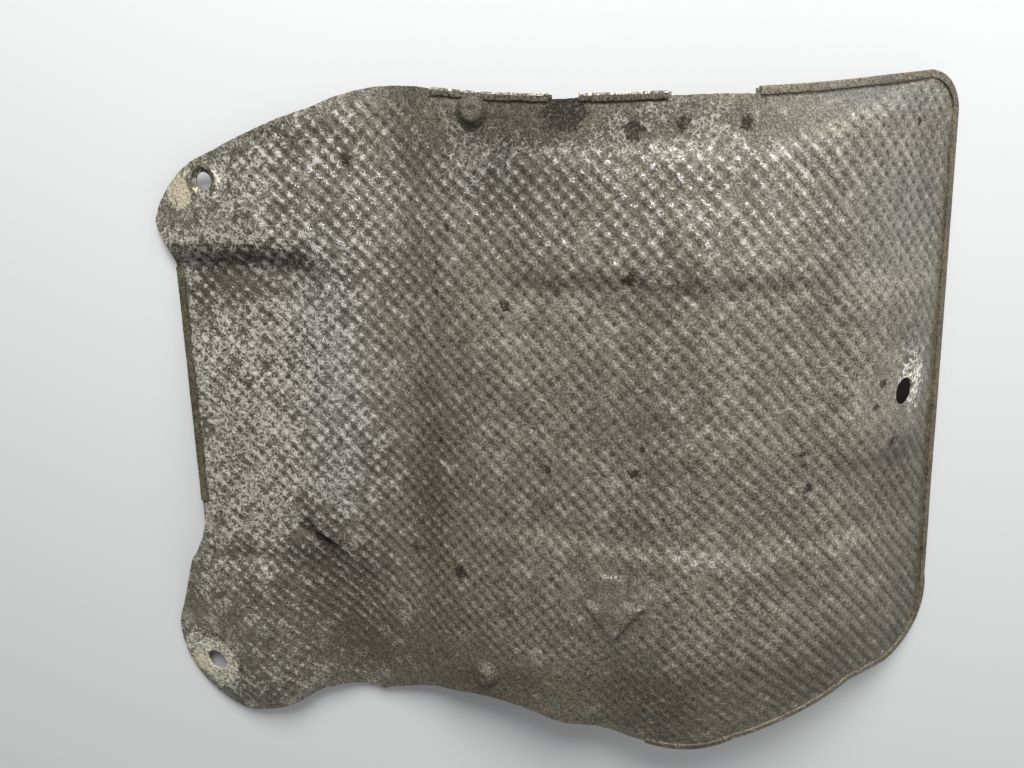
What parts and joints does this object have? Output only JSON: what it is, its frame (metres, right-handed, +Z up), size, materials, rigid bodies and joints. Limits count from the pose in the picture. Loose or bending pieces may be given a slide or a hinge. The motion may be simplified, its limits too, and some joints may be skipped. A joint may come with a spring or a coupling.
{
  "type": "heat shield",
  "caption": "Pressed aluminium heat shield with a dimpled skin, soft ridge, folded hems, eared mounting holes and raised buttons, for keeping exhaust heat off nearby parts.",
  "frame": {"origin": "middle of the floor area that the shield covers, on the floor it lies on, outer face up", "axes": "+X from the eared side to the hemmed side, +Y along the ridge towards the edge with the notched hem, +Z up out of the outer face"},
  "size_m": [0.4188, 0.3458, 0.0641],
  "materials": {
    "sheet": "weathered, stained, dimpled"
  },
  "bodies": {
    "root": {"heat_shield": "sheet"}
  },
  "joints": []
}
